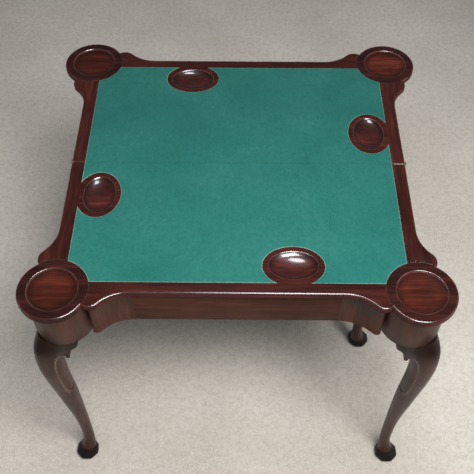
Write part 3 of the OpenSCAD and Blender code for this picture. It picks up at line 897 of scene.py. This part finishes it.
def cloth_shape():
    """Baize of the back leaf, and its area: a thin glued sheet whose paler cut edge slopes to the wood."""
    x, fold = BAIZE_X - CLOTH_GAP, HALF_GAP + 0.05
    trim_fold = fold + CLOTH_BEVEL
    top, low = TOP_Z - 0.1, TOP_Z - RECESS + 0.04
    grid = [(i * CLOTH_GRID, 12.0 + j * CLOTH_GRID) for i in range(-22, 23) for j in range(21)]
    grid = [p for p in grid if on_baize(p, CLOTH_GAP + CLOTH_TRIM + 3)]
    lines = baize_lines(CLOTH_GAP, fold) + [([(-x, fold), (x, fold)], False)]
    lines += baize_lines(CLOTH_GAP + CLOTH_TRIM, trim_fold) + [([(-x, trim_fold), (x, trim_fold)], False)]

    def kind_of(p):
        if p[1] < fold or not on_baize(p, CLOTH_GAP):
            return None
        return "cloth" if on_baize(p, CLOTH_GAP + CLOTH_TRIM) else "trim"

    points, faces = triangulate(lines, kind_of, grid)
    rim = borders(faces, {"cloth", "trim"})
    outermost = {i for edge in rim for i in edge}
    shape = Shape()

    def top_point(i):
        return (*points[i], top - (CLOTH_BEVEL if i in outermost else 0.0))

    area = 0.0
    for face, kind in faces:
        shape.face([top_point(i) for i in face], kind)
        shape.face([(*points[i], low) for i in face[::-1]], "cloth")
        a, b, c = (Vector(points[i]) for i in face)
        area += abs((b - a).cross(c - a)) / 2
    for a, b in rim:
        kind = "cloth" if max(points[a][1], points[b][1]) < trim_fold else "trim"
        shape.face([top_point(a), top_point(b), (*points[b], low), (*points[a], low)], kind)
    return shape, area


def make_baize(leaves):
    """The cloth of both leaves, laid on them."""
    shape, area = cloth_shape()
    finish = {"cloth": cloth_green, "trim": cloth_edge}
    for node, body in (("folding_leaf_baize", "flap"), ("fixed_leaf_baize", "frame")):
        own = shape if body == "flap" else shape.moved(turn_round)
        cloth = piece(f"{node}_cloth", body, own, finish, node)


# ---------- corners ----------

def corner(sx, sy):
    """Puts a point drawn for the back right into the corner with signs sx and sy."""
    return lambda p: (sx * p[0], sy * p[1], p[2])


def at_turret(p):
    """From the turret's own axes into the back right corner's place."""
    return (p[0] + CORNER_X, p[1] + CORNER_Y, p[2])


def at_rear(p):
    """From a rear leg's own axes into the back right corner's place."""
    return (p[0] + REAR_AXIS[0], p[1] + REAR_AXIS[1], p[2])


def swap_sides(p):
    """Swaps the two outward directions of a corner."""
    return (p[1], p[0], p[2])


def swung_out(p):
    """From the fly rail's closed place to its open place."""
    x, y = p[0] - PIVOT[0], p[1] - PIVOT[1]
    return (PIVOT[0] + y, PIVOT[1] - x, p[2])


def chain(*steps):
    """One function that puts a point through several, the first one first."""
    def place(p):
        for step in steps:
            p = step(p)
        return p
    return place


# ---------- frieze ----------

def turret_shape():
    """Turret block with eased rims, its axis a little inside the centre of its round corner."""
    shape = Shape()
    profile = [(TURRET_R - 1.2, FRIEZE_Z), (TURRET_R - 0.45, FRIEZE_Z + 0.3), (TURRET_R, FRIEZE_Z + 1.2),
               (TURRET_R, LEAF_Z - 0.8), (TURRET_R - 0.8, LEAF_Z - 0.05)]
    rings = [lathe_ring((-TURRET_IN, -TURRET_IN), radius, z, 128) for radius, z in profile]
    shape.shell(rings, "side", "end")
    return shape


def tenon_shape():
    """Tenon of a rail that runs to -X from a corner at the origin."""
    inner = SEAT - 4
    return block((-TURRET_REACH, inner, FRIEZE_Z + TENON_IN),
                 (-TURRET_REACH + TENON_L, inner + TENON_T, LEAF_Z - TENON_IN), 0.5, "end")


def board_loop(length):
    """Plan of a frieze board that runs to -X from a corner at the origin, cut back behind the shoulder."""
    low = FACE - RAIL_T
    start = pi - asin((low + TURRET_IN) / TURRET_R)
    end = pi - asin((SEAT + TURRET_IN) / TURRET_R)
    hug = arc((-TURRET_IN, -TURRET_IN), TURRET_R + 0.05, start, end, 6)
    return [(-length, low)] + hug + [(-BLOCK_S, SEAT), (-BLOCK_S, FACE), (-length, FACE)]


def rail_prism(loop):
    """A board or block of the frieze on its plan."""
    return prism(loop, FRIEZE_Z, LEAF_Z, 0.8, "side", "end", ease_top=0.2)


def front_board_shape():
    """Both halves of the front board as one piece."""
    half = board_loop(CORNER_X)
    right = [(x + CORNER_X, y + CORNER_Y) for x, y in half[1:-1]]
    tenon = tenon_shape().moved(at_turret)
    shape = rail_prism(right + [(-x, y) for x, y in reversed(right)])
    return shape.join(tenon).join(tenon.moved(corner(-1, 1)))


def shoulder_shape():
    """Serpentine block whose rail runs to -X, with outward at +Y; a slot parts it from its turret."""
    bend = asin((HOLLOW_S - BLOCK_S) / (HOLLOW_R + OVERHANG))
    hollow = arc((HOLLOW_S, HOLLOW_N), HOLLOW_R + OVERHANG, -pi / 2 - bend, TOUCH - pi, 20)
    centre, radius = (TURRET_IN, -TURRET_IN), TURRET_R + SLOT_W
    away = hypot(LOBE_S - centre[0], LOBE_N - centre[1])
    along = (radius ** 2 - (LOBE_R - OVERHANG) ** 2 + away ** 2) / (2 * away)
    meet = atan2(LOBE_N - centre[1], LOBE_S - centre[0]) + acos(along / radius)
    slot = arc(centre, radius, meet, asin((SEAT - centre[1]) / radius), 14)
    lobe = arc((LOBE_S, LOBE_N), LOBE_R - OVERHANG, TOUCH,
               atan2(slot[0][1] - LOBE_N, slot[0][0] - LOBE_S), 16)
    plan = [(BLOCK_S, SEAT)] + hollow + lobe[1:] + slot[1:]
    return rail_prism([(-s, n) for s, n in plan])


def make_frieze():
    """Front and side boards, turrets and shoulders; the right board runs 1 mm further back."""
    finish, flank_finish, drum_finish = (
        {"side": wood, "end": wood} for wood in (wood_frieze, wood_flank, wood_drum))
    piece("front_frieze_board", "frame", front_board_shape().moved(corner(1, -1)), finish, "front_frieze")
    for side, sx, length in (("left", -1, CORNER_Y + side_back), ("right", 1, CORNER_Y + side_back + 1)):
        straight = chain(at_turret, corner(sx, -1))
        turned = chain(swap_sides, straight)
        board = rail_prism(board_loop(length)).join(tenon_shape())
        for name, node, shape, place, wood in (
                (f"{side}_frieze_board", f"{side}_frieze", board, turned, flank_finish),
                (f"front_{side}_turret_drum", f"front_{side}_turret", turret_shape(), straight, drum_finish),
                (f"front_{side}_shoulder_block", f"front_{side}_shoulder", shoulder_shape(), straight,
                 drum_finish),
                (f"{side}_shoulder_block", f"{side}_shoulder", shoulder_shape(), turned, drum_finish)):
            piece(name, "frame", shape.moved(place), wood, node)


# ---------- legs ----------

# Height, distance out along the diagonal and radius of the leg; the pad foot stands on a thin shoe
LEG = [
    (0, 48, 22.5), (3.5, 48, 23.5), (6, 48.5, 27.4), (12, 48.5, 28.8), (20, 46.5, 26.0), (28, 43, 20.2),
    (42, 38, 16.2), (80, 33, 13.5), (190, 33.5, 15.2), (330, 42, 21.8), (480, 53, 27.6), (560, 45, 32.5),
    (FRIEZE_Z, 24, 33.5)
]
# Carved line on each flank of a front leg: angle from the outward diagonal and height
SCROLL = [(86, 550), (79, 542), (75, 518), (74.5, 480), (74, 445), (74, 412), (77, 393), (85, 382), (96, 380)]


def leg_value(z, column):
    """Column of LEG at a height, on a smooth curve through its stations."""
    k = max(i for i in range(len(LEG) - 1) if LEG[i][0] <= z)
    a, b = LEG[k], LEG[k + 1]
    rise = b[0] - a[0]
    t = (z - a[0]) / rise

    def slope(i):
        one, two = LEG[max(i - 1, 0)], LEG[min(i + 1, len(LEG) - 1)]
        return (two[column] - one[column]) / (two[0] - one[0])

    return (a[column] * (2 * t ** 3 - 3 * t ** 2 + 1) + slope(k) * rise * (t ** 3 - 2 * t ** 2 + t)
            + b[column] * (3 * t ** 2 - 2 * t ** 3) + slope(k + 1) * rise * (t ** 3 - t ** 2))


def smooth_path(points, steps):
    """A Catmull-Rom curve through points, with steps between each two."""
    path = []
    for i in range(len(points) - 1):
        p0, p1 = points[max(i - 1, 0)], points[i]
        p2, p3 = points[i + 1], points[min(i + 2, len(points) - 1)]
        for j in range(steps):
            t = j / steps
            path.append(tuple(
                0.5 * (2 * b + (c - a) * t + (2 * a - 5 * b + 4 * c - d) * t ** 2
                       + (3 * b - a - 3 * c + d) * t ** 3)
                for a, b, c, d in zip(p0, p1, p2, p3)))
    return path + [tuple(points[-1])]


def scroll_path():
    """The carved line as (distance round the leg, height), in mm."""
    return [(radians(angle) * leg_value(z, 2), z) for angle, z in smooth_path(SCROLL, 6)]


def share_of(value, low, high):
    """How far a value is from low to high, kept between 0 and 1."""
    return max(0.0, min(1.0, (value - low) / (high - low)))


def carving(path, angle, z, radius):
    """Carving on a front leg's flank, as (height, kind): a bead along the line, a dished ground behind it."""
    around = radians(abs(angle)) * radius
    if z < CARVING_LOW or z > CARVING_HIGH or abs(angle) < 50:
        return 0.0, "leg"
    near = min(hypot(around - u, z - v) for u, v in path)
    bead = CARVED_LINE_H * exp(-(near / CARVED_LINE_W) ** 2)
    kind = "bead" if near < 1.7 else "leg"
    if not inside(path + [(200, path[-1][1]), (200, path[0][1])], (around, z)):
        return bead, kind
    fade = share_of(32 - near, 0, 26) * share_of(CARVING_HIGH - z, 0, 16)
    return bead - CARVED_GROUND_D * min(1.0, near / 2.5) * fade, kind


def leg_heights(carved):
    """Heights of the leg's rings: close together at the foot and where it is carved."""
    heights = [0, 0.8, 2, 3.5, 4.4, 5.2, 6, 7.5, 9.5, 12, 14, 16, 18, 20, 22, 24, 26, 28, 31, 34, 38, 42, 47,
               53, 60, 70]
    heights += [80 + 11 * i for i in range(25)]
    step = 2.2 if carved else 6.6
    z = heights[-1] + step
    while z < FRIEZE_Z - 1:
        heights.append(z)
        z += step if z < 560 or not carved else 4
    return heights + [FRIEZE_Z - 0.25]


def cabriole_shape(carved):
    """Cabriole leg on its axis at the origin, bowed out along the diagonal (+X +Y)."""
    path = scroll_path()
    sides = 96 if carved else 48
    rings, kinds = [], []
    for z in leg_heights(carved):
        out, radius = leg_value(z, 1) / sqrt(2), leg_value(z, 2)
        if z == 0:
            radius -= 0.8
        square = 0.035 * share_of(z, 120, 320) * share_of(FRIEZE_Z - z, -15, 35)
        worn = 0.75 * share_of(26 - z, 0, 10)
        ring, marks = [], []
        for j in range(sides):
            angle = 360 * (j + 0.5) / sides - 180
            raised, kind = carving(path, angle, z, radius) if carved else (0.0, "leg")
            facet = cos(radians(22.5)) / cos(radians((angle + 22.5) % 45 - 22.5))
            here = radius * (1 + square * cos(radians(4 * angle)) + worn * (facet - 0.97)) + raised
            turn = radians(45 + angle)
            ring.append((out + here * cos(turn), out + here * sin(turn), z))
            marks.append("foot" if z < FOOT_TOP else kind)
        rings.append(ring)
        kinds.append(marks)
    shape = Shape()
    for k in range(len(rings) - 1):
        for i in range(sides):
            j = (i + 1) % sides
            kind = "bead" if kinds[k][j] == "bead" else kinds[k][i]
            shape.face([rings[k][i], rings[k][j], rings[k + 1][j], rings[k + 1][i]], kind)
    shape.face(rings[0], "foot")
    shape.face(rings[-1], "leg")
    return shape


def front_leg_shape():
    """Front leg with its square post, in the back right corner's place."""
    low = POST_AT - POST_S / 2
    post = block((low, low, FRIEZE_Z - 10), (low + POST_S, low + POST_S, FRIEZE_Z + POST_H), 0.8, "end")
    return cabriole_shape(True).join(post).moved(at_turret)


def rear_leg_shape(top):
    """Rear leg with its square stile, in the back right corner's place."""
    low = (STILE_X - STILE / 2, STILE_Y - STILE / 2, FRIEZE_Z - 12)
    stile = block(low, (low[0] + STILE, low[1] + STILE, top), 1.2, "leg")
    return cabriole_shape(False).moved(at_rear).join(stile)


def ear_shape(reach, face, top):
    """Scrolled bracket that runs to -X of the leg's axis, with its front at y = face."""
    eye, eye_r = (-6.2, FRIEZE_Z - 62), 4.7
    lower = smooth_path([(-reach - 2, top), (-reach - 1, FRIEZE_Z - 8), (-reach + 1.6, FRIEZE_Z - 17),
                         (-reach + 6.5, FRIEZE_Z - 24)], 5)
    shoulder = smooth_path([(-reach + 11, FRIEZE_Z - 27), (-18.5, FRIEZE_Z - 34), (-13, FRIEZE_Z - 43.5),
                            (-11.2, FRIEZE_Z - 53), (-10.9, FRIEZE_Z - 61)], 5)
    curl = arc(eye, eye_r, radians(172), radians(395), 18)
    outer = lower + shoulder + curl + [(14, FRIEZE_Z - 57), (14, top)]
    shape = prism(outer, 0.0, EAR_T, 1.6, "leg", place=lambda x, z, depth: (x, face - depth, z))
    spiral = []
    for k in range(27):
        r, turn = 1.2 + 3.4 * k / 26, radians(-150 + 330 * k / 26)
        spiral.append((eye[0] + r * cos(turn), eye[1] + r * sin(turn)))
    inner = [(x + 2.6, z + 1.2) for x, z in reversed(shoulder)]
    inner += [(x + 3.0, z + 0.3) for x, z in reversed(lower[2:])]
    shape.shell(tube([(x, face + 0.15, z) for x, z in spiral + inner], 0.85), "leg")
    return shape


def make_legs():
    """Four legs with their ears; the swinging one's stile and ear end a little lower."""
    finish = {"foot": wood_foot, "leg": wood_leg, "end": wood_leg, "bead": wood_bead}
    front = front_leg_shape()
    ear = ear_shape(FRONT_EAR_REACH, FRONT_EAR_FACE, FRIEZE_Z)
    for side, sx in (("left", -1), ("right", 1)):
        name, place = f"front_{side}_leg", corner(sx, -1)
        piece(f"{name}_cabriole", "frame", front.moved(place), finish, name, sharp=60)
        piece(f"{name}_front_bracket", "frame", ear.moved(chain(at_turret, place)), finish,
              f"{name}_front_ear")
        piece(f"{name}_side_bracket", "frame", ear.moved(chain(swap_sides, at_turret, place)), finish,
              f"{name}_side_ear")
    for name, body, place, leg_top, ear_top in (
            ("rear_right_leg", "frame", corner(1, 1), LEAF_Z, FRIEZE_Z),
            ("swing_leg", "gate", chain(corner(-1, 1), swung_out), LEAF_Z - 0.3, FRIEZE_Z - 0.5)):
        piece(f"{name}_cabriole", body, rear_leg_shape(leg_top).moved(place), finish, name, sharp=60)
        ear = ear_shape(REAR_EAR_REACH, REAR_EAR_FACE, ear_top)
        piece(f"{name}_bracket", body, ear.moved(chain(swap_sides, at_rear, place)), finish, f"{name}_ear")


# ---------- hinges ----------

def edge_inset(z):
    """How far the leaf's edge is inside EDGE_X at a height in its round arris or its band."""
    up = z - (TOP_Z - ROUND)
    return 0.0 if up <= 0 else ROUND - sqrt(max(ROUND ** 2 - up ** 2, 0.0))


def plate_shape(lap):
    """Hinge plate let into the back leaf's right edge; lap is 0 for the outer knuckle, 1 for the inner."""
    skin, low, band = 0.12, SEAT_LOW + 0.1, TOP_Z - ROUND
    heights = [low, band] + [band + (SEAT_HIGH - band) * k / 4 for k in range(1, 5)]
    section = [(PLATE_IN, low)] + [(EDGE_X + skin - edge_inset(z), z) for z in heights]
    section += [(PLATE_IN, SEAT_HIGH)]
    shape = prism(section, PLATE_FROM, PLATE_END - 0.1, 0.35, "brass", place=lambda x, z, y: (x, y, z))
    knuckle_x = PLATE_IN + lap * (KNUCKLE_T + EAR_GAP)
    knuckle = arc((0, FOLD_Z), KNUCKLE_R, radians(35), radians(262), 22)
    knuckle += [(PLATE_FROM + 0.8, LEAF_Z + 7), (PLATE_FROM + 0.8, SEAT_HIGH)]
    return shape.join(prism(knuckle, knuckle_x, knuckle_x + KNUCKLE_T, 0.3, "brass",
                            place=lambda y, z, x: (x, y, z)))


def pin_shape():
    """Hinge pin of the right hinge, with a domed head outside and a small burr inside."""
    head = PLATE_IN + 2 * KNUCKLE_T + EAR_GAP
    profile = [(PLATE_IN - 0.1, 0.7), (PLATE_IN + 0.2, HINGE_PIN_R), (head, HINGE_PIN_R),
               (head + 0.02, 1.95), (head + 0.3, 1.9), (head + 0.6, 1.35), (head + 0.78, 0.5)]
    shape = Shape()
    shape.shell([[(x, y, z) for y, z in ellipse((0, FOLD_Z), r, r, 28)] for x, r in profile], "brass")
    return shape


def plate_screws_shape():
    """Slotted countersunk heads of both back plates, their slots at different turns."""
    shape = Shape()
    face = EDGE_X + 0.2
    cut = asin(SCREW_SLOT / 2 / SCREW_R)
    shank = ((EDGE_X - 13.5, 0.4), (EDGE_X - 10, 1.1), (EDGE_X - 2, 1.2), (face - 0.6, SCREW_R))
    for sx, first in ((-1, 25), (1, 65)):
        for y0, angle in zip(SCREW_Y, (first, first + 70)):
            turn = radians(angle)
            screw = Shape()
            for half in (0, pi):
                loop = arc((0, 0), SCREW_R, turn + half + cut, turn + half + pi - cut, 16)
                screw.join(prism(loop, face - 1.2, face, 0.15, "brass",
                                 place=lambda u, v, x: (x, y0 + u, SCREW_Z + v)))
            screw.shell([[(x, y, z) for y, z in ellipse((y0, SCREW_Z), r, r, 24)] for x, r in shank], "brass")
            shape.join(screw.moved(corner(sx, 1)))
    return shape


def make_hinges():
    """Both hinges, with their pins and screws."""
    finish = {"brass": brass}
    for side, sx in (("left", -1), ("right", 1)):
        for leaf, body, sy, lap in (("fixed", "frame", -1, 0), ("folding", "flap", 1, 1)):
            node = f"{side}_hinge_{leaf}_plate"
            piece(f"{node}_let_in", body, plate_shape(lap).moved(corner(sx, sy)), finish, node)
        piece(f"{side}_hinge_pin_domed", "frame", pin_shape().moved(corner(sx, 1)), finish,
              f"{side}_hinge_pin")
    screws = plate_screws_shape()
    piece("folding_plate_screws_slotted", "flap", screws, finish, "folding_plate_screws")
    piece("fixed_plate_screws_slotted", "frame", screws.moved(corner(1, -1)), finish,
          "fixed_plate_screws")


# ---------- carried-over CAD nodes ----------

def finish_cad_nodes():
    """Materials of the hidden rails, blocks and fixings, which keep their CAD shapes."""
    finishes = {
        beech: ("leaf_tenon", "inner_back_rail", "fixed_fly_rail", "swing_fly_rail", "glue_blocks"),
        iron: ("fly_rail_pin", "fly_rail_nails", "top_screws"),
    }
    for material, nodes in finishes.items():
        for node in nodes:
            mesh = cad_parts[node].data
            mesh.materials.clear()
            mesh.materials.append(material)


# ---------- room, in metres ----------

FLOOR_REACH = 9.0
SKY = (0.93, 0.95, 1.0, 1.0)
SKY_STRENGTH = 0.10
# Area lights: name, place, aim, size, power in watts, colour
LIGHTS = (
    ("overhead", (0.1, 0.08, 2.9), (0.05, 0.0, 0.7), (0.8, 0.55), 22, (0.95, 0.97, 1.0)),
    ("right_key", (0.5, -1.18, 2.7), (0.0, -0.3, 0.5), (1.2, 0.8), 106, (1.0, 0.98, 0.95)),
    ("front_wall", (0.2, -3.4, 1.6), (0, -0.2, 0.5), (4.2, 2.2), 9, (0.96, 0.98, 1.0)),
    ("right_wall", (3.2, -0.9, 1.1), (0.3, -0.3, 0.6), (2.2, 1.6), 17, (1.0, 0.97, 0.94)),
    ("left_wall", (-3.2, -0.9, 1.1), (-0.3, -0.3, 0.6), (2.2, 1.6), 7, (0.97, 0.98, 1.0)),
)
CAMERA_AT = (0.0060, -1.1522, 1.9562)
CAMERA_LENS = 58.13
CAMERA_SENSOR = 36.0
# Degrees: down from level, turned to the left and rolled
CAMERA_DOWN, CAMERA_YAW, CAMERA_ROLL = 52.546, 0.437, 0.089


def make_floor():
    """A wide flat floor at z = 0."""
    mesh = bpy.data.meshes.new("floor")
    corners = [(x * FLOOR_REACH, y * FLOOR_REACH, 0) for x, y in ((-1, -1), (1, -1), (1, 1), (-1, 1))]
    mesh.from_pydata(corners, [], [(0, 1, 2, 3)])
    mesh.materials.append(floor_pile)
    floor = bpy.data.objects.new("floor", mesh)
    bpy.context.scene.collection.objects.link(floor)


def make_lights():
    """A dim sky and the area lights; the one overhead is an ellipse."""
    world = bpy.data.worlds.new("studio")
    world.use_nodes = True
    background = world.node_tree.nodes["Background"]
    background.inputs["Color"].default_value = SKY
    background.inputs["Strength"].default_value = SKY_STRENGTH
    bpy.context.scene.world = world
    for name, place, aim, size, power, colour in LIGHTS:
        data = bpy.data.lights.new(name, "AREA")
        data.shape = "ELLIPSE" if name == "overhead" else "RECTANGLE"
        data.size, data.size_y = size
        data.energy = power
        data.color = colour
        lamp = bpy.data.objects.new(name, data)
        lamp.location = place
        lamp.rotation_euler = (Vector(aim) - Vector(place)).to_track_quat("-Z", "Y").to_euler()
        bpy.context.scene.collection.objects.link(lamp)


def make_camera():
    """A camera in front of the table and above it, looking down."""
    data = bpy.data.cameras.new("camera")
    data.lens = CAMERA_LENS
    data.sensor_width = CAMERA_SENSOR
    camera = bpy.data.objects.new("camera", data)
    camera.location = CAMERA_AT
    yaw, pitch, roll = (Matrix.Rotation(radians(angle), 4, axis) for angle, axis in (
        (CAMERA_YAW, "Z"), (90 - CAMERA_DOWN, "X"), (CAMERA_ROLL, "Z")))
    camera.rotation_euler = (yaw @ pitch @ roll).to_euler()
    bpy.context.scene.collection.objects.link(camera)
    bpy.context.scene.camera = camera


bpy.context.scene.view_settings.view_transform = "Standard"
make_camera()
make_lights()
make_floor()
make_baize(make_leaves())
make_frieze()
make_legs()
make_hinges()
finish_cad_nodes()
